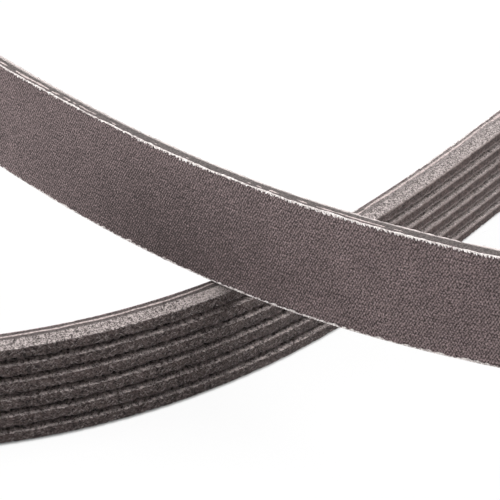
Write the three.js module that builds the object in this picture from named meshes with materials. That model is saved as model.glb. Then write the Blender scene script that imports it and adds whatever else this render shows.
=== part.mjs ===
// A serpentine belt: the endless, six-ribbed rubber belt that drives the accessories at
// the front of a car engine. One moulded piece, with a woven fabric back and V-shaped
// ribs along its inner side. It stands on one side wall on a table, as three loops in a
// row: one strand passes over the other at two places, and the belt has no twist, so it
// can be pulled out to a plain ring.
//
// Millimetres. +Z is up, and the table is z = 0. The origin is on the table, in the
// middle of the lower side wall, where the upper strand crosses over the lower one.

import * as THREE from "three";
import { ParametricGeometry } from "three/addons/geometries/ParametricGeometry.js";

// Driving dimensions of the belt's section
const RIB_COUNT = 6;
const RIB_PITCH = 3.56; // the standard pitch of ribbed automotive belts
const RIB_DEPTH = 2.2; // from the floor of a groove to the tip of a rib
const RIB_ANGLE = 40; // degrees, between the two flanks of a groove
const GROOVE_FLOOR = 0.3; // the flat at the bottom of a groove
const BACK_THICKNESS = 2.2; // fabric, cords and rubber, from the back to the groove floors

// Driving dimensions of the belt as it lies
const BELT_LENGTH = 1795; // once round, along the fabric back
const CROSSING_GAP = 0.5; // between the side walls, where the strands cross
const STEPS_PER_STATION = 7; // facets of the swept belt between two stations

// The stations that the belt is drawn towards, once round. Each is a place on the plan,
// the height there, as a share of the height at which a strand clears another one, and
// the lean of the belt's top towards its ribs, in degrees.
const STATIONS = [
  { x: -36.5, y: -25.0, lift: 0.0, lean: 0 }, // the lower strand, seen from its ribs
  { x: 21.0, y: 13.0, lift: 0.0, lean: 0 },
  { x: 63.5, y: 78.5, lift: 0.0, lean: 0 },
  { x: 113.5, y: 137.5, lift: 0.0, lean: 0 },
  { x: 176, y: 162, lift: 0.0, lean: 0 }, // the loop on the right
  { x: 238, y: 138, lift: 0.0, lean: 0 },
  { x: 262, y: 73, lift: 0.12, lean: 0 },
  { x: 235, y: 3, lift: 0.45, lean: 0 },
  { x: 169.0, y: -40.5, lift: 0.85, lean: 0 },
  { x: 92.5, y: -48.5, lift: 1.11, lean: -3 }, // the upper strand, seen from its back
  { x: 31.0, y: -28.0, lift: 1.12, lean: 3 },
  { x: -15.0, y: 12.5, lift: 0.94, lean: 9 },
  { x: -65.0, y: 75.5, lift: 0.84, lean: 4 },
  { x: -113.5, y: 138.5, lift: 1.0, lean: 0 },
  { x: -148, y: 206, lift: 1.05, lean: 0 },
  { x: -165, y: 278, lift: 0.7, lean: 0 }, // the loop at the far end
  { x: -148, y: 347, lift: 0.22, lean: 0 },
  { x: -94, y: 382, lift: 0.0, lean: 0 },
  { x: -36, y: 365, lift: 0.0, lean: 0 },
  { x: -19, y: 306, lift: 0.0, lean: 0 },
  { x: -56, y: 248, lift: 0.0, lean: 0 },
  { x: -115, y: 202, lift: 0.0, lean: 0 }, // the loop on the left, bent the other way
  { x: -171, y: 153, lift: 0.0, lean: 0 },
  { x: -197, y: 86, lift: 0.0, lean: 0 },
  { x: -171, y: 20, lift: 0.0, lean: 0 },
  { x: -108.5, y: -19.5, lift: 0.0, lean: 0 },
];

const WIDTH = RIB_COUNT * RIB_PITCH;
const THICKNESS = BACK_THICKNESS + RIB_DEPTH;
const FLANK_RUN = RIB_DEPTH * Math.tan(THREE.MathUtils.degToRad(RIB_ANGLE / 2));
const RIB_TIP = RIB_PITCH - GROOVE_FLOOR - 2 * FLANK_RUN;
const CLEAR_HEIGHT = WIDTH + CROSSING_GAP;
const UP = new THREE.Vector3(0, 0, 1);

// The closed outline of the section. depth runs from the fabric back to the rib tips,
// and across runs from the lower side wall to the upper one, with 0 in the middle.
function sectionOutline() {
  const outline = [{ depth: 0, across: -WIDTH / 2 }];
  for (let rib = 0; rib < RIB_COUNT; rib++) {
    const middle = (rib + 0.5) * RIB_PITCH - WIDTH / 2;
    const foot = RIB_TIP / 2 + FLANK_RUN;
    const lowerFoot = rib === 0 ? -WIDTH / 2 : middle - foot;
    const upperFoot = rib === RIB_COUNT - 1 ? WIDTH / 2 : middle + foot;
    outline.push({ depth: BACK_THICKNESS, across: lowerFoot });
    outline.push({ depth: THICKNESS, across: middle - RIB_TIP / 2 });
    outline.push({ depth: THICKNESS, across: middle + RIB_TIP / 2 });
    outline.push({ depth: BACK_THICKNESS, across: upperFoot });
  }
  outline.push({ depth: 0, across: WIDTH / 2 });
  return outline;
}

// The weights of four stations in a row for a smooth closed curve (a uniform cubic
// B-spline), at share f of the way between the two in the middle.
function stationWeights(f) {
  return [
    (1 - f) ** 3 / 6,
    (3 * f ** 3 - 6 * f ** 2 + 4) / 6,
    (-3 * f ** 3 + 3 * f ** 2 + 3 * f + 1) / 6,
    f ** 3 / 6,
  ];
}

// The same, for the curve's direction.
function directionWeights(f) {
  return [
    -((1 - f) ** 2) / 2,
    (3 * f ** 2 - 4 * f) / 2,
    (-3 * f ** 2 + 2 * f + 1) / 2,
    f ** 2 / 2,
  ];
}

// One value of the stations, such as x or lift, blended at step along the belt.
function blend(key, step, weightsAt) {
  const first = Math.floor(step / STEPS_PER_STATION);
  const weights = weightsAt(step / STEPS_PER_STATION - first);
  const count = STATIONS.length;
  return weights.reduce(
    (sum, weight, i) => sum + weight * STATIONS[(first + i - 1 + count) % count][key],
    0,
  );
}

const STEPS = STATIONS.length * STEPS_PER_STATION;

// The length of the plan curve as the stations give it.
function drawnLength() {
  let length = 0;
  for (let step = 0; step < STEPS; step++) {
    const dx = blend("x", step + 1, stationWeights) - blend("x", step, stationWeights);
    const dy = blend("y", step + 1, stationWeights) - blend("y", step, stationWeights);
    length += Math.hypot(dx, dy);
  }
  return length;
}

const PLAN_SCALE = BELT_LENGTH / drawnLength();

// The belt's place and directions at one step: the middle of the fabric back, the way
// towards the ribs, and the way from the lower side wall to the upper one.
function beltFrame(step) {
  const middle = new THREE.Vector3(
    PLAN_SCALE * blend("x", step, stationWeights),
    PLAN_SCALE * blend("y", step, stationWeights),
    WIDTH / 2 + CLEAR_HEIGHT * blend("lift", step, stationWeights),
  );
  const along = new THREE.Vector3(
    PLAN_SCALE * blend("x", step, directionWeights),
    PLAN_SCALE * blend("y", step, directionWeights),
    CLEAR_HEIGHT * blend("lift", step, directionWeights),
  ).normalize();
  const lean = THREE.MathUtils.degToRad(blend("lean", step, stationWeights));
  const toRibs = along.clone().cross(UP).normalize();
  const across = toRibs.clone().cross(along);
  toRibs.applyAxisAngle(along, lean);
  across.applyAxisAngle(along, lean);
  return { middle, toRibs, across };
}

// A ribbed section swept once round the frames, as one closed skin.
function beltGeometry() {
  const outline = sectionOutline();
  const frames = Array.from({ length: STEPS }, (_, step) => beltFrame(step));
  const skin = (u, v, target) => {
    const frame = frames[Math.round(u * STEPS) % STEPS];
    const corner = outline[Math.round(v * outline.length) % outline.length];
    target
      .copy(frame.middle)
      .addScaledVector(frame.toRibs, corner.depth)
      .addScaledVector(frame.across, corner.across);
  };
  return new ParametricGeometry(skin, STEPS, outline.length);
}

const rubber = new THREE.MeshStandardMaterial({
  color: 0x453f3d,
  roughness: 0.85,
  metalness: 0.0,
});

const belt = new THREE.Mesh(beltGeometry(), rubber);
belt.name = "serpentine_belt";

const root = new THREE.Group();
root.add(belt);

export default root;
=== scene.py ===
# The looks of a six-rib serpentine belt that stands on edge on a white table.
# Metres, +Z up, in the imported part's own frame. Sizes of the belt are written in
# millimetres, as on its drawing, and turned into metres where a mesh is made.

import math
import bpy
import numpy as np
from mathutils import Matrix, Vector


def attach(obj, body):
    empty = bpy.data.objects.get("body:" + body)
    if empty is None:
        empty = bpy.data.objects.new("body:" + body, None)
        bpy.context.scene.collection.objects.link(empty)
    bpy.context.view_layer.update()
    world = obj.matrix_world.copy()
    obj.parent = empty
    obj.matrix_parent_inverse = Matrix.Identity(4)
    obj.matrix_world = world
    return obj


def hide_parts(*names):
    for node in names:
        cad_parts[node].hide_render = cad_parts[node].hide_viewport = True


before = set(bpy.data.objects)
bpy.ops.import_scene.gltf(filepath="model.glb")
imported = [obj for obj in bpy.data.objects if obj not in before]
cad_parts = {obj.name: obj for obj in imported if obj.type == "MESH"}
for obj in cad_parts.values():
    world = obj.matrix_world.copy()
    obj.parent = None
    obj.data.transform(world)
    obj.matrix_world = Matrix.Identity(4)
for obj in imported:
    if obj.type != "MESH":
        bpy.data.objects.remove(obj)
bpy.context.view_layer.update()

MM = 0.001
NODE = "serpentine_belt"

# The belt's section and length, in millimetres, as the part has them
RIB_COUNT = 6
RIB_PITCH = 3.56
RIB_DEPTH = 2.2
RIB_ANGLE = 40.0
GROOVE_FLOOR = 0.3
BACK_THICKNESS = 2.2
BELT_LENGTH = 1795.0
CROSSING_GAP = 0.5
PART_STEPS_PER_STATION = 7

WIDTH = RIB_COUNT * RIB_PITCH
HALF = WIDTH / 2
THICKNESS = BACK_THICKNESS + RIB_DEPTH
FLANK_RUN = RIB_DEPTH * math.tan(math.radians(RIB_ANGLE / 2))
RIB_TIP = RIB_PITCH - GROOVE_FLOOR - 2 * FLANK_RUN
CLEAR_HEIGHT = WIDTH + CROSSING_GAP

# The stations that the belt is drawn towards, as the part has them: x and y in
# millimetres, lift as a share of the clear height, lean towards the ribs in degrees.
STATIONS = np.array(
    [
        (-36.5, -25.0, 0.0, 0),  # the lower strand, seen from its ribs
        (21.0, 13.0, 0.0, 0),
        (63.5, 78.5, 0.0, 0),
        (113.5, 137.5, 0.0, 0),
        (176.0, 162.0, 0.0, 0),  # the loop on the right
        (238.0, 138.0, 0.0, 0),
        (262.0, 73.0, 0.12, 0),
        (235.0, 3.0, 0.45, 0),
        (169.0, -40.5, 0.85, 0),
        (92.5, -48.5, 1.11, -3),  # the upper strand, seen from its back
        (31.0, -28.0, 1.12, 3),
        (-15.0, 12.5, 0.94, 9),
        (-65.0, 75.5, 0.84, 4),
        (-113.5, 138.5, 1.0, 0),
        (-148.0, 206.0, 1.05, 0),
        (-165.0, 278.0, 0.7, 0),  # the loop at the far end
        (-148.0, 347.0, 0.22, 0),
        (-94.0, 382.0, 0.0, 0),
        (-36.0, 365.0, 0.0, 0),
        (-19.0, 306.0, 0.0, 0),
        (-56.0, 248.0, 0.0, 0),
        (-115.0, 202.0, 0.0, 0),  # the loop on the left, bent the other way
        (-171.0, 153.0, 0.0, 0),
        (-197.0, 86.0, 0.0, 0),
        (-171.0, 20.0, 0.0, 0),
        (-108.5, -19.5, 0.0, 0),
    ]
)
ROUND = len(STATIONS)

# Stretches that the camera is near to, from station to station, with finer meshes
RIBS_NEAR = (-0.15, 2.0)
BACK_NEAR = (9.6, 11.8)

# The steps of each piece's mesh along the belt, in millimetres: where the ribs are near,
# where the back is near, and elsewhere
BODY_STEPS = (0.2, 1.0, 1.75)
FABRIC_STEPS = (0.3, 0.5, 1.8)
CORD_STEPS = (0.45, 0.4, 1.4)
EDGE_STEPS = (0.8, 0.25, 1.3)

# What starts each piece's random draws
BODY_SEED = 11
FABRIC_SEED = 23
CORD_SEED = 37
EDGE_SEED = 41
TUFT_SEED = 53

# The photograph's camera, from the edges that the two strands show
LENS_MM = 176.7
SENSOR_MM = 36.0
CAMERA_DISTANCE = 0.5014
CAMERA_ELEVATION = 30.79
CAMERA_TARGET = Vector((0.0063, 0.0473, 0.0))

# Fine structure, in millimetres
FABRIC = 0.45  # the thickness of the woven back
WEAVE_PITCH = 0.48  # between neighbouring threads of the back
THREAD_ANGLE = 60.0  # degrees, from the belt's run to a thread of the back


# The route of the belt


def station_weights(f):
    """The weights of four stations in a row, at share f of the middle stretch."""
    return (
        (1 - f) ** 3 / 6,
        (3 * f**3 - 6 * f**2 + 4) / 6,
        (-3 * f**3 + 3 * f**2 + 3 * f + 1) / 6,
        f**3 / 6,
    )


def direction_weights(f):
    """The same, for the curve's direction."""
    return (
        -((1 - f) ** 2) / 2,
        (3 * f**2 - 4 * f) / 2,
        (-3 * f**2 + 2 * f + 1) / 2,
        f**2 / 2,
    )


def blend(places, weights_at):
    """The stations blended at places, counted in stations from the first one."""
    first = np.floor(places).astype(int)
    weights = weights_at((places - first)[:, None])
    return sum(w * STATIONS[(first + i - 1) % ROUND] for i, w in enumerate(weights))


def plan_scale():
    """What brings the drawn plan to the belt's real length."""
    steps = ROUND * PART_STEPS_PER_STATION
    plan = blend(np.arange(steps) / PART_STEPS_PER_STATION, station_weights)[:, :2]
    return BELT_LENGTH / np.linalg.norm(np.roll(plan, -1, 0) - plan, axis=1).sum()


PLAN_SCALE = plan_scale()


def unit(vectors):
    return vectors / np.linalg.norm(vectors, axis=-1, keepdims=True)


class Route:
    """The belt's place and directions at places along it, in millimetres."""

    def __init__(self, places):
        scale = np.array([PLAN_SCALE, PLAN_SCALE, CLEAR_HEIGHT])
        here = blend(places, station_weights)
        self.middle = here[:, :3] * scale
        self.middle[:, 2] += HALF
        self.along = unit(blend(places, direction_weights)[:, :3] * scale)
        lean = np.radians(here[:, 3:4])
        to_ribs = unit(np.cross(self.along, (0.0, 0.0, 1.0)))
        across = np.cross(to_ribs, self.along)
        self.to_ribs = to_ribs * np.cos(lean) - across * np.sin(lean)
        self.across = across * np.cos(lean) + to_ribs * np.sin(lean)

    def point(self, depth, across):
        """Points at a depth from the back and a way across it, for every place."""
        depth = np.broadcast_to(depth, len(self.middle))[:, None]
        across = np.broadcast_to(across, len(self.middle))[:, None]
        return self.middle + self.to_ribs * depth + self.across * across


def within(places, stretch):
    return (places - stretch[0]) % ROUND < stretch[1] - stretch[0]


# Places close together once round the belt, the gaps between them and how far along the
# belt each one lies, in millimetres
FINE_COUNT = 20001
FINE_PLACES = np.linspace(0, ROUND, FINE_COUNT)
FINE_GAPS = np.linalg.norm(np.diff(Route(FINE_PLACES).middle, axis=0), axis=1)
FINE_ALONG = np.concatenate([[0.0], np.cumsum(FINE_GAPS)])


def belt_steps(ribs_step, back_step, far_step):
    """Places once round the belt, and how far along it each one lies, with the whole
    length at the end. The steps, in millimetres, are for the stretch that shows its ribs
    to the camera, the one that shows its back, and the rest."""
    halfway = (FINE_PLACES[:-1] + FINE_PLACES[1:]) / 2
    step = np.full(len(FINE_GAPS), far_step)
    step[within(halfway, RIBS_NEAR)] = ribs_step
    step[within(halfway, BACK_NEAR)] = back_step
    counts = np.concatenate([[0.0], np.cumsum(FINE_GAPS / step)])
    places = np.interp(np.linspace(0, counts[-1], int(counts[-1]) + 1), counts, FINE_PLACES)
    return places[:-1], np.interp(places, FINE_PLACES, FINE_ALONG)


def place_along(station):
    """How far along the belt a station lies, in millimetres."""
    return float(np.interp(station, FINE_PLACES, FINE_ALONG))


WANDER_POINTS = 8192


def wander(rng, along, reach):
    """A closed random line of unit size round the belt, smooth over reach millimetres."""
    rate = np.fft.rfftfreq(WANDER_POINTS, along[-1] / WANDER_POINTS)
    line = np.fft.rfft(rng.standard_normal(WANDER_POINTS))
    line = np.fft.irfft(line * np.exp(-2 * (math.pi * rate * reach) ** 2), WANDER_POINTS)
    grid = np.arange(WANDER_POINTS) * along[-1] / WANDER_POINTS
    return np.interp(along[:-1], grid, line / line.std(), period=along[-1])


def wanders(rng, along, *parts):
    """A sum of such lines, from (size, reach) pairs."""
    result = 0.0
    for size, reach in parts:
        result = result + size * wander(rng, along, reach)
    return result


def shares(places, knots):
    """A share that changes along the belt, from (station, share) pairs."""
    stations, values = zip(*knots)
    return np.interp(places, stations, values, period=ROUND)


# Meshes


def swept_mesh(name, points):
    """A closed sweep of an outline. points is (corners, places, 3) in millimetres. Edges
    stay sharp along the belt and smooth across it."""
    points = np.array(points)
    corners, steps = points.shape[:2]
    index = np.arange(corners * steps).reshape(corners, steps)
    after = np.roll(index, -1, 0)
    quads = np.stack([index, np.roll(index, -1, 1), np.roll(after, -1, 1), after], -1)
    mesh = bpy.data.meshes.new(name)
    mesh.vertices.add(index.size)
    mesh.vertices.foreach_set("co", (points * MM).reshape(-1))
    mesh.loops.add(quads.size)
    mesh.loops.foreach_set("vertex_index", quads.reshape(-1))
    mesh.polygons.add(index.size)
    mesh.polygons.foreach_set("loop_start", np.arange(0, quads.size, 4))
    mesh.polygons.foreach_set("use_smooth", np.ones(index.size, bool))
    mesh.update(calc_edges=True)

    ends = np.zeros(len(mesh.edges) * 2, int)
    mesh.edges.foreach_get("vertices", ends)
    line = ends.reshape(-1, 2) // steps
    sharp = mesh.attributes.new("sharp_edge", "BOOLEAN", "EDGE")
    sharp.data.foreach_set("value", line[:, 0] == line[:, 1])
    return mesh


def mark_belt_places(mesh, along, outline):
    """Gives every face corner of a sweep its belt coordinates (along, across, depth) in
    millimetres, for the materials. outline is the (depth, across) of each corner."""
    outline = np.array(outline)
    following = np.roll(outline, -1, 0)
    place = np.zeros((len(outline), len(along) - 1, 4, 3))
    place[..., 0, 0] = place[..., 3, 0] = along[:-1]
    place[..., 1, 0] = place[..., 2, 0] = along[1:]
    for corner, shape in enumerate((outline, outline, following, following)):
        place[..., corner, 1] = shape[:, None, 1]
        place[..., corner, 2] = shape[:, None, 0]
    belt = mesh.attributes.new("belt", "FLOAT_VECTOR", "CORNER")
    belt.data.foreach_set("vector", place.reshape(-1))


def add_piece(name, mesh, material):
    piece = bpy.data.objects.new(name, mesh)
    bpy.context.collection.objects.link(piece)
    mesh.materials.append(material)
    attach(piece, "root")
    return piece


# The rubber body: core, side walls and ribs

TIP_RADIUS = 0.14
LIP_RADIUS = 0.05  # of the low edge of a rib's tip, which is ragged
LIP_REACH = 0.22  # how far that edge hangs over the groove
FOOT_RADIUS = 0.08
MIDDLE_OF_FLANK = 0.55  # the share of the rib's depth
SEAM = 0.06  # how far the rubber reaches under the fabric

# How far each kind of line strays from true, in millimetres, and which way across
STRAY = {
    "wall": (0.0, 0.0),
    "foot": (0.02, 0.0),
    "floor": (0.05, 0.0),
    "flank": (0.05, 0.0),
    "low": (0.17, 1.0),
    "high": (0.07, -1.0),
}
STRAY_WAVES = ((0.9, 0.15), (0.1, 1.5))  # (size, reach)
STRAY_LIMIT = 2.0
STRAY_SUNK = 0.5  # how deep a rounded line sinks, as a share of how far it strays


def turned_corner(before, here, after, radius):
    """The two ends of a corner's arc, for a corner cut with a small radius."""
    back, forth = unit(np.array([before, after]) - here)
    reach = radius / math.tan(math.acos(np.clip(back @ forth, -1, 1)) / 2)
    return here + back * reach, here + forth * reach


def rib_corners():
    """The corners of the body's outline in order: (depth, across), kind and radius."""
    corners = [((FABRIC - SEAM, -HALF), "wall", 0)]
    for rib in range(RIB_COUNT):
        middle = (rib + 0.5) * RIB_PITCH - HALF
        for side in (-1, 1):
            outer = rib == (0 if side < 0 else RIB_COUNT - 1)
            ragged = side < 0 and not outer
            foot = side * HALF if outer else middle + side * (RIB_TIP / 2 + FLANK_RUN)
            lip = middle + side * RIB_TIP / 2 - (LIP_REACH if ragged else 0)
            root, tip = (BACK_THICKNESS, foot), (THICKNESS, lip)
            waist = tuple(np.array(root) + MIDDLE_OF_FLANK * np.subtract(tip, root))
            flank = [
                (root, "foot" if outer else "floor", FOOT_RADIUS if outer else 0),
                (waist, "flank", 0),
                (tip, "low" if ragged else "high", LIP_RADIUS if ragged else TIP_RADIUS),
            ]
            corners += flank if side < 0 else flank[::-1]
    corners.append(((FABRIC - SEAM, HALF), "wall", 0))
    return corners


def make_body(material):
    places, along = belt_steps(*BODY_STEPS)
    route = Route(places)
    rng = np.random.default_rng(BODY_SEED)
    corners = rib_corners()
    outline = []
    points = []
    for i, (here, kind, radius) in enumerate(corners):
        size, way = STRAY[kind]
        waves = wanders(rng, along, *STRAY_WAVES)
        stray = size * np.clip(waves, -STRAY_LIMIT, STRAY_LIMIT)
        sunk = stray if kind in ("floor", "flank") else STRAY_SUNK * np.abs(stray)
        turned = [here]
        if radius:
            before = corners[i - 1][0]
            after = corners[(i + 1) % len(corners)][0]
            turned = turned_corner(before, np.array(here), after, radius)
        for depth, across in turned:
            outline.append((depth, across))
            points.append(route.point(depth - sunk, across + way * stray))
    mesh = swept_mesh("belt_body", points)
    mark_belt_places(mesh, along, outline)
    body = add_piece("belt_body", mesh, material)
    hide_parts(NODE)


# The woven back

FABRIC_COLUMNS = 20
FABRIC_CORNER = 0.07  # how far its face ends from its corners
FABRIC_BOW = 0.012  # how uneven its face is, and over what length
FABRIC_BOW_REACH = 3.0
FABRIC_FUZZ = 0.06  # how ragged its corners are, and over what length
FABRIC_FUZZ_REACH = 0.22


def make_fabric(material):
    places, along = belt_steps(*FABRIC_STEPS)
    route = Route(places)
    rng = np.random.default_rng(FABRIC_SEED)
    inner = HALF - FABRIC_CORNER
    outline = [(FABRIC, HALF), (FABRIC_CORNER, HALF)]
    outline += [(0.0, across) for across in np.linspace(inner, -inner, FABRIC_COLUMNS)]
    outline += [(FABRIC_CORNER, -HALF), (FABRIC, -HALF)]
    points = []
    for depth, across in outline:
        sunk = 0.0
        if depth == 0:
            sunk = FABRIC_BOW * wander(rng, along, FABRIC_BOW_REACH)
        if abs(across) >= inner:
            sunk = FABRIC_FUZZ * np.clip(wander(rng, along, FABRIC_FUZZ_REACH), -1, 2)
        points.append(route.point(depth + np.abs(sunk), across))
    mesh = swept_mesh("fabric_back", points)
    mark_belt_places(mesh, along, outline)
    add_piece("fabric_back", mesh, material)


# The pale cord that is bare in the side walls

CORD_WIDTH = 0.62
CORD_SHOULDER = 0.6  # the share of half its width that is nearly flat
CORD_PROUD = 0.05  # how far it stands off the wall at most
CORD_DROP = 0.06  # how far its sides lie in the wall even then
CORD_BURIED = 0.25  # how deep its hidden side lies

# From the back to the middle of the cord, in millimetres
CORD_DEPTH = (
    (0.0, 1.28),
    (0.5, 1.26),
    (1.4, 1.04),
    (2.5, 1.0),
    (9.0, 1.0),
    (10.5, 1.05),
    (11.1, 1.1),
    (11.3, 1.2),
    (11.5, 1.0),
    (24.0, 1.2),
)

# How bare the cord is: under a half, only streaks of it show.
BARE_CORD = (
    (0.0, 1.3),
    (2.5, 1.3),
    (5.0, 0.5),
    (9.8, 0.3),
    (10.0, 0.32),
    (10.1, 0.5),
    (10.3, 0.5),
    (10.6, 0.42),
    (10.8, 0.42),
    (10.95, 0.2),
    (11.18, 0.25),
    (11.26, 0.5),
    (11.33, 0.75),
    (11.42, 0.95),
    (12.5, 0.95),
    (15.0, 0.5),
    (24.0, 0.8),
)
HALF_BARE = 0.5
BARE_CONTRAST = 2.2

# The waves that bare the cord, swell it and move it: (size, reach)
CORD_WORN = ((0.5, 4.0), (0.3, 0.5))
CORD_SWELL = (0.2, 0.6)
CORD_STRAY = ((0.07, 1.0), (0.05, 15.0))


def make_cords(material):
    places, along = belt_steps(*CORD_STEPS)
    route = Route(places)
    rng = np.random.default_rng(CORD_SEED)
    bare = BARE_CONTRAST * (shares(places, BARE_CORD) - HALF_BARE)
    depth = shares(places, CORD_DEPTH)
    for name, side in (("cord_lower", -1.0), ("cord_upper", 1.0)):
        proud = CORD_PROUD * np.clip(bare + wanders(rng, along, *CORD_WORN), -1.5, 1.0)
        reach = CORD_WIDTH / 2 * np.clip(1 + wanders(rng, along, CORD_SWELL), 0.5, 1.5)
        line = depth + wanders(rng, along, *CORD_STRAY)
        points = []
        for share in (-1.0, -CORD_SHOULDER, 0.0, CORD_SHOULDER, 1.0):
            dome = proud - (CORD_PROUD + CORD_DROP) * share**4
            points.append(route.point(line + reach * share, side * (HALF + dome)))
        for share in (CORD_SHOULDER, -CORD_SHOULDER):
            points.append(route.point(line + reach * share, side * (HALF - CORD_BURIED)))
        # Faces have to point outward on both sides.
        mesh = swept_mesh(name, points if side < 0 else points[::-1])
        add_piece(name, mesh, material)


# The cut edges of the back: pale thread ends along both of its corners

WALL_REACH = 0.42  # how far the pale line reaches over the side wall
EDGE_PUFF = 0.05  # how proud it stands

# How pale each corner is: under a third, the rubber hides the thread ends.
PALE_LOWER = (
    (0.0, 0.5),
    (9.0, 0.8),
    (10.2, 1.05),
    (10.55, 1.05),
    (10.8, 0.5),
    (10.95, 0.3),
    (11.15, 0.35),
    (11.25, 0.6),
    (11.4, 0.5),
    (11.48, 0.0),
    (12.2, 0.1),
    (13.0, 0.6),
)
PALE_UPPER = (
    (0.0, 0.1),
    (0.8, 0.15),
    (1.3, 0.4),
    (2.4, 0.4),
    (3.5, 0.8),
    (9.0, 1.0),
    (12.0, 1.0),
    (24.0, 0.7),
)
HIDDEN_UNDER = 0.33
PALE_CONTRAST = 1.6

# Name, side, how pale, how far the line reaches over the back, and how beaded it is
CUT_EDGES = (
    ("cut_lower", -1.0, PALE_LOWER, 0.234, 0.45),
    ("cut_upper", 1.0, PALE_UPPER, 0.13, 0.25),
)

# The waves that bare the thread ends and change the line's reach: (size, reach)
EDGE_WORN = (0.3, 2.0)
FACE_WAVES = (0.6, 0.22)
WALL_WAVES = (0.3, 0.4)
BEAD_REACH = 0.25


def make_cut_edges(material):
    places, along = belt_steps(*EDGE_STEPS)
    route = Route(places)
    rng = np.random.default_rng(EDGE_SEED)
    for name, side, pale, face_reach, beads in CUT_EDGES:
        shown = PALE_CONTRAST * (shares(places, pale) - HIDDEN_UNDER)
        shown += wanders(rng, along, EDGE_WORN, (beads, BEAD_REACH))
        puff = EDGE_PUFF * np.clip(shown, -1.0, 1.0)
        face = face_reach * np.clip(1 + wanders(rng, along, FACE_WAVES), 0.3, 2.6)
        wall = WALL_REACH * np.clip(1 + wanders(rng, along, WALL_WAVES), 0.4, 1.6)
        # Round the corner, from the side wall to the back: depth, and way out of the wall
        lines = [
            (wall, -0.03),
            (0.6 * wall, 0.8 * puff),
            (0.02, puff),
            (-puff, -0.02),
            (-0.8 * puff, -0.6 * face),
            (0.03, -face),
            (0.2, -0.2),
        ]
        points = [route.point(depth, side * (HALF + out)) for depth, out in lines]
        mesh = swept_mesh(name, points if side > 0 else points[::-1])
        add_piece(name, mesh, material)


# Frayed threads that hang from the corners over the back, one at most for each thread

TUFT_PITCH = WEAVE_PITCH / math.sin(math.radians(THREAD_ANGLE))
TUFT_LENGTH = 0.52
TUFT_WIDTH = 0.32
TUFT_THICK = 0.8  # its thickness over its width
TUFT_SUNK = 0.05  # how deep its root lies in the back
TUFT_INSET = 0.02  # and how far in from the side wall
WAIST_AT = 0.75  # where it is highest, as a share of its length
WAIST_WIDTH = 0.85  # how wide it is there, over its width at the root
TIP_RISE = 0.5  # how high its tip is, over the highest part
THIN_LENGTH = 0.4  # how long it is where few threads are frayed, over the usual length

# What is drawn for each tuft: how far it is off its place in pitches, its length and its
# width over the usual ones, its lean along the belt and its rise in millimetres
TUFT_JITTER = (-0.3, 0.3)
TUFT_LENGTHS = (0.15, 1.0)
TUFT_WIDTHS = (0.7, 1.25)
TUFT_LEANS = (-1.1, 0.0)
TUFT_RISES = (0.03, 0.1)

# The share of the threads that are frayed, and it goes with their length
FRAYED_LOWER = (
    (0.0, 0.3),
    (9.5, 0.3),
    (10.1, 0.4),
    (10.25, 0.65),
    (10.6, 0.65),
    (10.75, 0.3),
    (11.4, 0.1),
    (14.0, 0.3),
)
FRAYED_UPPER = (
    (0.0, 0.0),
    (2.5, 0.0),
    (4.0, 0.4),
    (9.5, 0.95),
    (10.1, 0.95),
    (10.2, 1.0),
    (10.42, 1.0),
    (10.5, 0.4),
    (10.65, 0.35),
    (10.75, 0.8),
    (10.86, 0.9),
    (10.95, 0.8),
    (11.05, 0.3),
    (11.3, 0.4),
    (11.38, 0.65),
    (11.45, 0.6),
    (11.5, 0.3),
    (20.0, 0.4),
    (24.0, 0.4),
    (25.5, 0.0),
)


def make_fringe(material):
    rng = np.random.default_rng(TUFT_SEED)
    vertices = []
    faces = []
    count = int(BELT_LENGTH / TUFT_PITCH)
    for side, frayed in ((-1.0, FRAYED_LOWER), (1.0, FRAYED_UPPER)):
        places = (np.arange(count) + rng.uniform(*TUFT_JITTER, count)) * ROUND / count
        fullness = shares(places, frayed)
        kept = rng.uniform(size=count) < fullness
        places, fullness = places[kept], fullness[kept]
        route = Route(places)
        turn = (0, 1, 2) if side > 0 else (0, 2, 1)
        for k in range(len(places)):
            grown = THIN_LENGTH + (1 - THIN_LENGTH) * fullness[k]
            length = TUFT_LENGTH * rng.uniform(*TUFT_LENGTHS) * grown
            width = TUFT_WIDTH * rng.uniform(*TUFT_WIDTHS)
            lean = rng.uniform(*TUFT_LEANS)
            rise = rng.uniform(*TUFT_RISES)
            run = route.along[k]
            out = -route.to_ribs[k]
            across = side * route.across[k]
            inward = -across + run * lean
            root = route.middle[k] + across * (HALF - TUFT_INSET) - out * TUFT_SUNK
            waist = root + inward * length * WAIST_AT + out * (TUFT_SUNK + rise)
            tip = root + inward * length + out * (TUFT_SUNK + rise * TIP_RISE)
            first = len(vertices)
            for centre, size in ((root, 1.0), (waist, WAIST_WIDTH)):
                vertices.append(centre + run * width * size / 2)
                vertices.append(centre - run * width * size / 2)
                vertices.append(centre + out * width * size * TUFT_THICK)
            vertices.append(tip)
            for a, b in ((0, 1), (1, 2), (2, 0)):
                a, b = first + turn[a], first + turn[b]
                faces.append((a, b, b + 3, a + 3))
                faces.append((a + 3, b + 3, first + 6))
            faces.append(tuple(first + turn[i] for i in (2, 1, 0)))
    mesh = bpy.data.meshes.new("frayed_threads")
    mesh.from_pydata([tuple(v * MM) for v in vertices], [], faces)
    mesh.update()
    add_piece("frayed_threads", mesh, material)


# Materials


def rgb(red, green, blue):
    """A colour written as it shows on a screen, from 0 to 255, in linear light."""
    parts = [c / 255 for c in (red, green, blue)]
    linear = [c / 12.92 if c <= 0.04045 else ((c + 0.055) / 1.055) ** 2.4 for c in parts]
    return (*linear, 1.0)


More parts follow.
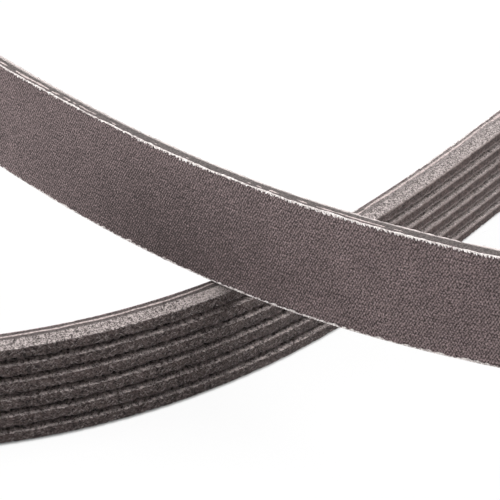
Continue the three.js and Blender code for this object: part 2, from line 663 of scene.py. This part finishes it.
class Nodes:
    """A short way to write a material's node tree."""

    def __init__(self, name):
        self.material = bpy.data.materials.new(name)
        self.material.use_nodes = True
        self.tree = self.material.node_tree
        self.shader = self.tree.nodes["Principled BSDF"]

    def node(self, kind, inputs=None, **settings):
        made = self.tree.nodes.new(kind)
        for key, value in settings.items():
            setattr(made, key, value)
        for key, value in (inputs or {}).items():
            self.feed(made.inputs[key], value)
        return made

    def feed(self, socket, value):
        if isinstance(value, bpy.types.NodeSocket):
            self.tree.links.new(value, socket)
        else:
            socket.default_value = value

    def math(self, operation, *values):
        made = self.node("ShaderNodeMath", operation=operation)
        for socket, value in zip(made.inputs, values):
            self.feed(socket, value)
        return made.outputs[0]

    def total(self, *values):
        result = values[0]
        for value in values[1:]:
            result = self.math("ADD", result, value)
        return result

    def product(self, *values):
        result = values[0]
        for value in values[1:]:
            result = self.math("MULTIPLY", result, value)
        return result

    def rest_of(self, share):
        return self.math("SUBTRACT", 1.0, share)

    def swing(self, noise, size):
        """A noise brought to swing about zero, size from end to end."""
        return self.total(self.product(noise, size), -size / 2)

    def mix(self, share, first, second):
        made = self.node("ShaderNodeMix", data_type="RGBA")
        self.feed(made.inputs[0], share)
        self.feed(made.inputs[6], first)
        self.feed(made.inputs[7], second)
        return made.outputs[2]

    def ramp(self, value, low, high, to_low=0.0, to_high=1.0):
        ends = {"From Min": low, "From Max": high, "To Min": to_low, "To Max": to_high}
        return self.node("ShaderNodeMapRange", {"Value": value, **ends}).outputs[0]

    def shades(self, pattern, look):
        """A pattern in two colours. look is the values of the pattern at which it has the
        one and the other, and the colours as they show on a screen."""
        low, high, first, second = look
        return self.mix(self.ramp(pattern, low, high), rgb(*first), rgb(*second))

    def layer(self, under, pattern, look, *cover):
        """A colour over what is under it. look is the values of the pattern at which it is
        absent and full, how much it hides then, and its colour."""
        low, high, most, colour = look
        share = self.product(self.ramp(pattern, low, high, 0.0, most), *cover)
        return self.mix(share, under, rgb(*colour))

    def noise(self, vector, scale, detail=2.0, rough=0.5):
        made = self.node(
            "ShaderNodeTexNoise",
            {"Vector": vector, "Scale": scale, "Detail": detail, "Roughness": rough},
        )
        return made.outputs["Fac"]

    def stretched(self, vector, angle, size):
        """vector turned by angle degrees about its third axis, with its features size times
        as long along the first axis."""
        turned = self.node(
            "ShaderNodeVectorRotate",
            {"Vector": vector, "Angle": math.radians(angle)},
            rotation_type="Z_AXIS",
        )
        return self.node(
            "ShaderNodeVectorMath",
            {0: turned.outputs[0], 1: (1 / size, 1.0, 1.0)},
            operation="MULTIPLY",
        ).outputs[0]

    def belt_place(self):
        """The belt's own coordinates in millimetres: along, across and depth."""
        made = self.node("ShaderNodeAttribute", attribute_name="belt")
        split = self.node("ShaderNodeSeparateXYZ", {"Vector": made.outputs["Vector"]})
        return made.outputs["Vector"], split.outputs

    def bump(self, height, strength, distance):
        made = self.node(
            "ShaderNodeBump", {"Height": height, "Strength": strength, "Distance": distance}
        )
        self.feed(self.shader.inputs["Normal"], made.outputs[0])

    def finish(self, colour, **constants):
        self.feed(self.shader.inputs["Base Color"], colour)
        for key, value in constants.items():
            self.shader.inputs[key.replace("_", " ")].default_value = value
        return self.material


# Each material's bump: its strength, and its height in metres
RUBBER_BUMP = (0.7, 0.098 * MM)
BACK_BUMP = (0.6, 0.12 * MM)
THREAD_BUMP = (0.5, 0.06 * MM)

# The noises of the rubber: features for each millimetre, detail and roughness
GRAIN = (2.6, 3.0, 0.75)
FIBRES = (4.8, 2.0, 0.7)
CLUMPS = (1.1, 2.0, 0.5)
BROKEN = (1.4, 2.0, 0.6)
# The next noise is for the painted shade deep in the grooves
GROOVE_SHADE_NOISE = (1.8, 2.0, 0.6)
PATCHES = (0.25, 2.0, 0.5)
SMEARS = (1.3, 2.0, 0.6)
STROKES = (3.5, 2.0, 0.6)
# The next noise is for painted shade dots along the low edge of each tip
LIP_SHADE_NOISE = (2.2, 2.0, 0.5)

# Patterns that are drawn out one way: the angle in degrees and how much longer they are
FIBRES_ONE_WAY = (50.0, 2.6)
FIBRES_OTHER_WAY = (-35.0, 2.6)
SMEARS_DRAWN = (25.0, 2.5)
STROKES_ONE_WAY = (40.0, 2.8)
STROKES_OTHER_WAY = (-40.0, 2.8)

# The rubber's surfaces, for Nodes.shades
FIBROUS = (0.42, 0.69, (64, 57, 56), (216, 204, 201))
# The next look is painted shade, for deep in the grooves
GROOVE_SHADE_LOOK = (0.42, 0.58, (6, 5, 5), (124, 115, 113))
TIP = (0.38, 0.66, (10, 7, 7), (92, 80, 78))
DUSTY_TIP = (0.38, 0.66, (18, 5, 3), (92, 68, 64))
WALL = (0.38, 0.64, (48, 42, 41), (102, 94, 92))

# What lies over the tips, for Nodes.layer
SMEARED = (0.47, 0.68, 1.0, (128, 113, 110))
PATCHED = (0.4, 0.75, 0.2, (70, 52, 50))
STROKED = (0.58, 0.7, 0.65, (150, 140, 138))
# The next is painted shade: dark dots along the low edge of each tip
LIP_SHADE_DOTS = (0.48, 0.56, 0.5, (16, 12, 12))
BRUSHED = (152, 140, 137)

# Where the rubber changes along the belt, from station to station
UPPER_FROM = 5.0  # what lies past it counts as the upper strand
DUST_AND_LIGHT = (0.95, 1.4)  # dust and painted light, from none to full, on the lower strand
PAINTED_LIGHT_FROM = (0.45, 0.62)  # painted light: the flank gets paler before the other strand crosses over and shades it
PAINTED_LIGHT_UNTIL = (1.0, 0.85)
RIM_HIGHLIGHT_STRETCH = (10.2, 9.9)  # the painted highlight on the upper strand's rim grows over this stretch

# Where it changes with depth, in millimetres under the tips, from none to full
TIP_ENDS = (-0.03, 0.17)
# The painted highlight on the outermost rim, from none to full
RIM_HIGHLIGHT_DEPTHS = (1.3, 0.5)
# Painted shade deep in the grooves, from none to its most
GROOVE_DARK = (0.7, 1.4)
GROOVE_DARK_MOST = 0.95
WALL_ENDS = (0.05, 0.25)  # over the thickness of the back
WALL_FLAT = 0.1  # the same, without fibres
EDGE_WAVER = 0.7  # how far the fibres make those lines waver
EDGE_SHIFT = 0.48  # and what brings them back to their places

# Where the painted shade dots and the brushed dust and painted light lie, as shares of the
# pitch in from the edges of a tip
LIP_SHADE_FROM = 0.1
LIP_SHADE_FULL = 0.02
BRUSHED_LOW = 0.13
BRUSHED_HIGH = 0.09

# What the fibres gain or lose: painted highlight on the outermost rim, painted light near
# the crossing
RIM_HIGHLIGHT_LOWER = 0.01
RIM_HIGHLIGHT_UPPER = 0.15
RIM_HIGHLIGHT_UPPER_MOST = 0.22
BELOW_RIM = -0.035
PAINTED_LIGHT_NEAR_CROSSING = 0.08
CLUMPED = 0.2
BROKEN_UP = 0.55

# How much the dust and painted light hide
DUST_AND_LIGHT_ON_TIPS = 0.55
DUST_AND_LIGHT_ON_EDGES = 0.75
DUST_AND_LIGHT_ON_WALLS = 0.6
SMEARS_CLEAN = 0.15
SMEARS_DUSTY = 0.3


class Rubber:
    """The rubber's patterns, the masks from 0 to 1 that they share, and its colours."""

    def __init__(self, n):
        self.n = n
        self.vector, self.place = n.belt_place()
        # (along, depth, across) so that fibres can be turned in the plane of the flanks
        flat = {"X": self.place["X"], "Y": self.place["Z"], "Z": self.place["Y"]}
        swapped = n.node("ShaderNodeCombineXYZ", flat).outputs[0]
        one_way = n.noise(n.stretched(swapped, *FIBRES_ONE_WAY), *FIBRES)
        other_way = n.noise(n.stretched(swapped, *FIBRES_OTHER_WAY), *FIBRES)
        self.fibres = n.math("MAXIMUM", one_way, other_way)
        self.grain = n.noise(self.vector, *GRAIN)
        # The depth from the back, with fibres across the lines where surfaces meet
        waver = n.product(other_way, EDGE_WAVER)
        self.edge = n.math("SUBTRACT", n.total(self.place["Z"], EDGE_SHIFT), waver)
        self.outermost = n.math("GREATER_THAN", self.place["Y"], HALF - RIB_PITCH / 2)
        self.upper = n.math("GREATER_THAN", self.place["X"], place_along(UPPER_FROM))
        # Dust and painted light on the lower strand past the crossing: paler walls and tip
        # edges, and lighter grooves
        self.dust_and_light = n.product(self.between(DUST_AND_LIGHT), n.rest_of(self.upper))
        # Where the painted groove shade and broken strokes show: not on the outermost rib,
        # and less where the lower strand has dust and painted light
        self.clear = n.rest_of(n.math("MAXIMUM", self.outermost, self.dust_and_light))

    def between(self, stretch, to_low=0.0, to_high=1.0):
        """A value that changes over a stretch of the belt."""
        start, end = map(place_along, stretch)
        return self.n.ramp(self.place["X"], start, end, to_low, to_high)

    def under_tips(self, depths, most=1.0):
        """A share that grows to most from the one depth under the tips to the other."""
        start, end = (THICKNESS - depth for depth in depths)
        return self.n.ramp(self.edge, start, end, 0.0, most)

    def fibrous(self):
        """Pale ground fibres. The rim of the outermost flank has a painted highlight, on
        the upper strand above all. In the grooves the fibres stand in short broken strokes."""
        n = self.n
        # Painted highlight on the rim of the outermost flank, most on the upper strand
        most = self.between(RIM_HIGHLIGHT_STRETCH, RIM_HIGHLIGHT_UPPER, RIM_HIGHLIGHT_UPPER_MOST)
        rim_highlight_share = n.total(n.product(self.upper, most), RIM_HIGHLIGHT_LOWER)
        rim = n.product(self.under_tips(RIM_HIGHLIGHT_DEPTHS), rim_highlight_share)
        # Painted light on the flank before the crossing, against the other strand's shadow
        crossing = self.between(PAINTED_LIGHT_FROM, 0.0, PAINTED_LIGHT_NEAR_CROSSING)
        crossing = n.product(crossing, self.between(PAINTED_LIGHT_UNTIL))
        strands = n.total(
            self.fibres,
            n.product(self.outermost, n.total(rim, crossing, BELOW_RIM)),
            n.swing(n.noise(self.vector, *CLUMPS), CLUMPED),
            n.product(n.swing(n.noise(self.vector, *BROKEN), BROKEN_UP), self.clear),
        )
        return n.shades(strands, FIBROUS)

    def flank(self, fibrous):
        """Fibres, and painted shade deep in the grooves, in a dark crumbly noise."""
        n = self.n
        deep = self.under_tips(GROOVE_DARK, GROOVE_DARK_MOST)
        groove_shade = n.shades(n.noise(self.vector, *GROOVE_SHADE_NOISE), GROOVE_SHADE_LOOK)
        return n.mix(n.product(deep, self.clear), fibrous, groove_shade)

    def tip(self):
        n = self.n
        tip = n.shades(self.grain, TIP)
        smears = n.noise(n.stretched(self.vector, *SMEARS_DRAWN), *SMEARS)
        smeared = n.total(n.product(self.dust_and_light, SMEARS_DUSTY), SMEARS_CLEAN)
        tip = n.layer(tip, smears, SMEARED, smeared)
        tip = n.layer(tip, n.noise(self.vector, *PATCHES), PATCHED)
        strokes = n.math(
            "MAXIMUM",
            n.noise(n.stretched(self.vector, *STROKES_ONE_WAY), *STROKES),
            n.noise(n.stretched(self.vector, *STROKES_OTHER_WAY), *STROKES),
        )
        tip = n.layer(tip, strokes, STROKED)
        dust = n.shades(self.grain, DUSTY_TIP)
        tip = n.mix(n.product(self.dust_and_light, DUST_AND_LIGHT_ON_TIPS), tip, dust)

        # The way across each rib, from 0 to 1, and where its tip starts and ends
        share = n.math("FRACT", n.math("DIVIDE", n.total(self.place["Y"], HALF), RIB_PITCH))
        low_edge = 0.5 - (RIB_TIP / 2 + LIP_REACH) / RIB_PITCH
        high_edge = 0.5 + RIB_TIP / 2 / RIB_PITCH
        # Painted shade along the low edge: dark dots in a row, where the groove's shadow
        # shows past the ragged lip.
        lip_shade = n.ramp(share, low_edge + LIP_SHADE_FROM, low_edge + LIP_SHADE_FULL)
        tip = n.layer(tip, n.noise(self.vector, *LIP_SHADE_NOISE), LIP_SHADE_DOTS, lip_shade)
        # Dust and painted light are brushed over both edges.
        edges = n.total(
            n.ramp(share, low_edge + BRUSHED_LOW, low_edge),
            n.ramp(share, high_edge - BRUSHED_HIGH, high_edge),
        )
        brushed = n.product(edges, self.dust_and_light, DUST_AND_LIGHT_ON_EDGES)
        return n.mix(brushed, tip, rgb(*BRUSHED))

    def wall(self, fibrous):
        n = self.n
        dust = n.product(self.dust_and_light, DUST_AND_LIGHT_ON_WALLS)
        return n.mix(dust, n.shades(self.grain, WALL), fibrous)

    def colour(self):
        n = self.n
        fibrous = self.fibrous()
        on_wall = n.math("LESS_THAN", self.place["Z"], BACK_THICKNESS + WALL_FLAT)
        dark = n.mix(on_wall, self.tip(), self.wall(fibrous))
        past_wall = n.ramp(self.edge, *(BACK_THICKNESS + end for end in WALL_ENDS))
        on_flank = n.product(self.under_tips(TIP_ENDS), past_wall)
        return n.mix(on_flank, dark, self.flank(fibrous))


def rubber_material():
    n = Nodes("ribbed_rubber")
    rubber = Rubber(n)
    n.bump(n.total(rubber.fibres, rubber.grain), *RUBBER_BUMP)
    return n.finish(
        rubber.colour(),
        Roughness=0.85,
        Specular_IOR_Level=0.2,
        Sheen_Weight=0.08,
        Sheen_Roughness=0.5,
    )


# The two sets of threads of the back: how often they sway for each millimetre, and by how
# many radians of the weave
WARP_SWAY = (0.6, 8.0)
WEFT_SWAY = (0.8, 11.0)
OTHER_NOISE = (37.0, 11.0, 5.0)  # far enough off for a noise of its own

# The noises of the back, as for the rubber
BACK_GRAIN = (2.4, 3.0, 0.8)
BACK_PATCHES = (0.14, 3.0, 0.5)
BACK_SCUFFS = (0.7, 3.0, 0.6)
SCUFFS_DRAWN = (10.0, 2.0)

# How much each pattern counts
WEFT_SHARE = 0.6
KNOT_SHARE = 0.35
WEAVE_SHARE = 0.13
GRAIN_SHARE = 2.2
SCUFF_SHARE = 0.25

# The dark and the light of the weave, for Nodes.shades, and where the one turns into the
# other
WEAVE_DARK = (0.35, 0.7, (58, 50, 50), (52, 44, 44))
WEAVE_LIGHT = (0.35, 0.7, (178, 157, 157), (164, 145, 145))
WEAVE_RAMP = (1.02, 1.74)

# A painted shadow on the back near the crossing: its station, how far across it lies and
# its reach along and across the belt in millimetres, how much it tints and how much it
# darkens
PAINTED_SHADE_STATION = 10.8
PAINTED_SHADE_ACROSS = -7.0
PAINTED_SHADE_REACH = (32.0, 13.0)
PAINTED_SHADE_COLOUR = (104, 78, 78)
PAINTED_SHADE_TINT = 0.25
PAINTED_SHADE_DARK = 0.13


def fabric_material():
    n = Nodes("woven_back")
    vector, place = n.belt_place()
    turn = 2 * math.pi / WEAVE_PITCH
    run = n.product(place["X"], turn * math.sin(math.radians(THREAD_ANGLE)))
    rise = n.product(place["Y"], turn * math.cos(math.radians(THREAD_ANGLE)))
    # Each set of threads wanders by itself, so that the weave isn't a regular grid.
    shifted = n.node("ShaderNodeVectorMath", {0: vector, 1: OTHER_NOISE}, operation="ADD")
    warp_sway = n.product(n.noise(vector, WARP_SWAY[0], 3.0), WARP_SWAY[1])
    weft_sway = n.product(n.noise(shifted.outputs[0], WEFT_SWAY[0], 3.0), WEFT_SWAY[1])
    warp = n.total(run, rise, warp_sway)
    weft = n.total(n.math("SUBTRACT", run, rise), weft_sway)
    knots = n.total(
        n.math("COSINE", warp),
        n.product(n.math("COSINE", weft), WEFT_SHARE),
        n.product(n.math("COSINE", n.math("SUBTRACT", warp, weft)), KNOT_SHARE),
    )
    scuffs = n.noise(n.stretched(vector, *SCUFFS_DRAWN), *BACK_SCUFFS)
    weave = n.total(
        n.product(knots, WEAVE_SHARE),
        n.product(n.noise(vector, *BACK_GRAIN), GRAIN_SHARE),
        n.product(scuffs, SCUFF_SHARE),
    )
    # The painted shadow near the crossing, a soft dark patch on the back
    run_from = n.math("SUBTRACT", place["X"], place_along(PAINTED_SHADE_STATION))
    rise_from = n.math("SUBTRACT", place["Y"], PAINTED_SHADE_ACROSS)
    away = n.total(
        n.math("POWER", n.math("DIVIDE", run_from, PAINTED_SHADE_REACH[0]), 2.0),
        n.math("POWER", n.math("DIVIDE", rise_from, PAINTED_SHADE_REACH[1]), 2.0),
    )
    painted_shade = n.math("EXPONENT", n.product(away, -1.0))
    patches = n.noise(vector, *BACK_PATCHES)
    dark = n.shades(patches, WEAVE_DARK)
    light = n.shades(patches, WEAVE_LIGHT)
    light = n.mix(n.product(painted_shade, PAINTED_SHADE_TINT), light, rgb(*PAINTED_SHADE_COLOUR))
    shown = n.ramp(n.math("SUBTRACT", weave, n.product(painted_shade, PAINTED_SHADE_DARK)), *WEAVE_RAMP)
    n.bump(weave, *BACK_BUMP)
    return n.finish(
        n.mix(shown, dark, light),
        Roughness=0.9,
        Specular_IOR_Level=0.2,
        Sheen_Weight=0.06,
    )


THREAD_NOISE = (2200.0, 3.0, 0.65)  # in the piece's own metres

# The looks of the threads, for Nodes.shades
BARE_CORD_LOOK = (0.35, 0.62, (118, 105, 103), (200, 184, 181))
CUT_THREADS_LOOK = (0.35, 0.62, (140, 129, 127), (232, 225, 222))
LOOSE_THREADS_LOOK = (0.35, 0.62, (200, 190, 188), (252, 248, 246))


def thread_material(name, look):
    n = Nodes(name)
    spot = n.node("ShaderNodeTexCoord").outputs["Object"]
    fibres = n.noise(spot, *THREAD_NOISE)
    n.bump(fibres, *THREAD_BUMP)
    return n.finish(n.shades(fibres, look), Roughness=0.8, Sheen_Weight=0.1)


# Table, light and camera

WHITE = (1.0, 1.0, 1.0, 1.0)


def white_for_camera(tree, lit, seen):
    """lit for the light that falls on the object, and seen for what the camera, a mirror
    and clear glass see."""
    nodes, links = tree.nodes, tree.links
    path = nodes.new("ShaderNodeLightPath")
    share = path.outputs["Is Camera Ray"]
    for kind in ("Is Glossy Ray", "Is Transmission Ray"):
        either = nodes.new("ShaderNodeMath")
        either.operation = "MAXIMUM"
        links.new(share, either.inputs[0])
        links.new(path.outputs[kind], either.inputs[1])
        share = either.outputs[0]
    mix = nodes.new("ShaderNodeMixShader")
    links.new(share, mix.inputs[0])
    links.new(lit, mix.inputs[1])
    links.new(seen, mix.inputs[2])
    return mix.outputs[0]


FLOOR_SIZE = 6.0
FLOOR_DROP = 0.0001  # how far the table lies under the belt, in metres
FLOOR_BOUNCE = 0.85
FLOOR_GLOW = 0.93  # how white the open table is by itself, out of 1
FLOOR_SHADED = 0.06  # and the part of it that takes shadows
CONTACT_REACH = 0.00083  # how far from the belt the painted contact shadow under it goes, in metres
CONTACT_GLOW = 0.1
CONTACT_OPEN = (0.3, 0.8)  # how open the table is to the sky where the line ends
CONTACT_SAMPLES = 12


def make_floor():
    half = FLOOR_SIZE / 2
    mesh = bpy.data.meshes.new("table")
    corners = [(-half, -half, 0), (half, -half, 0), (half, half, 0), (-half, half, 0)]
    mesh.from_pydata(corners, [], [(0, 1, 2, 3)])
    floor = bpy.data.objects.new("table", mesh)
    bpy.context.collection.objects.link(floor)
    floor.location.z = -FLOOR_DROP
    n = Nodes("white_table")
    n.tree.nodes.remove(n.shader)
    lit = n.node("ShaderNodeBsdfDiffuse", {"Color": (FLOOR_BOUNCE,) * 3 + (1,)})
    shaded = n.node("ShaderNodeBsdfDiffuse", {"Color": (FLOOR_SHADED,) * 3 + (1,)})
    # Painted contact shadow: the table's glow dims where the belt closes it in
    sky = n.node(
        "ShaderNodeAmbientOcclusion", {"Distance": CONTACT_REACH}, samples=CONTACT_SAMPLES
    )
    strength = n.ramp(sky.outputs["AO"], *CONTACT_OPEN, CONTACT_GLOW, FLOOR_GLOW)
    glow = n.node("ShaderNodeEmission", {"Strength": strength})
    both = n.node("ShaderNodeAddShader", {0: shaded.outputs[0], 1: glow.outputs[0]})
    surface = white_for_camera(n.tree, lit.outputs[0], both.outputs[0])
    n.feed(n.tree.nodes["Material Output"].inputs["Surface"], surface)
    mesh.materials.append(n.material)


WORLD_LIGHT = 0.08


def make_world():
    world = bpy.data.worlds.new("studio")
    bpy.context.scene.world = world
    world.use_nodes = True
    nodes, links = world.node_tree.nodes, world.node_tree.links
    lit = nodes["Background"]
    lit.inputs["Color"].default_value = WHITE
    lit.inputs["Strength"].default_value = WORLD_LIGHT
    seen = nodes.new("ShaderNodeBackground")
    seen.inputs["Color"].default_value = WHITE
    seen.inputs["Strength"].default_value = 1.0
    surface = white_for_camera(world.node_tree, lit.outputs[0], seen.outputs[0])
    links.new(surface, nodes["World Output"].inputs["Surface"])


LAMP_DISTANCE = 1.1
LAMP_SIZE = 0.8

# Name, azimuth and elevation in degrees, and watts
SOFTBOXES = (
    ("softbox_left", 180, 30, 12.4),
    ("softbox_right", 0, 65, 14.0),
    ("softbox_behind", 75, 35, 6.0),
)


def way_towards(azimuth, elevation):
    """A direction of unit length, from its angles in degrees."""
    turn, rise = math.radians(azimuth), math.radians(elevation)
    return Vector(
        (math.cos(turn) * math.cos(rise), math.sin(turn) * math.cos(rise), math.sin(rise))
    )


def aim(name, data, away, distance):
    """A lamp or camera that looks at the middle of the view from a way off."""
    held = bpy.data.objects.new(name, data)
    held.location = CAMERA_TARGET + away * distance
    held.rotation_euler = (-away).to_track_quat("-Z", "Y").to_euler()
    bpy.context.collection.objects.link(held)
    return held


def make_lights():
    for name, azimuth, elevation, watts in SOFTBOXES:
        light = bpy.data.lights.new(name, "AREA")
        light.shape = "SQUARE"
        light.size = LAMP_SIZE
        light.energy = watts
        aim(name, light, way_towards(azimuth, elevation), LAMP_DISTANCE)


def make_camera():
    camera = bpy.data.cameras.new("camera")
    camera.lens = LENS_MM
    camera.sensor_width = SENSOR_MM
    camera.clip_start = 0.01
    rise = math.radians(CAMERA_ELEVATION)
    away = Vector((0.0, -math.cos(rise), math.sin(rise)))
    bpy.context.scene.camera = aim("camera", camera, away, CAMERA_DISTANCE)


bpy.context.scene.view_settings.view_transform = "Standard"
make_camera()
make_world()
make_lights()
make_floor()

make_body(rubber_material())
make_fabric(fabric_material())
make_cords(thread_material("bare_cord", BARE_CORD_LOOK))
make_cut_edges(thread_material("cut_threads", CUT_THREADS_LOOK))
make_fringe(thread_material("loose_threads", LOOSE_THREADS_LOOK))
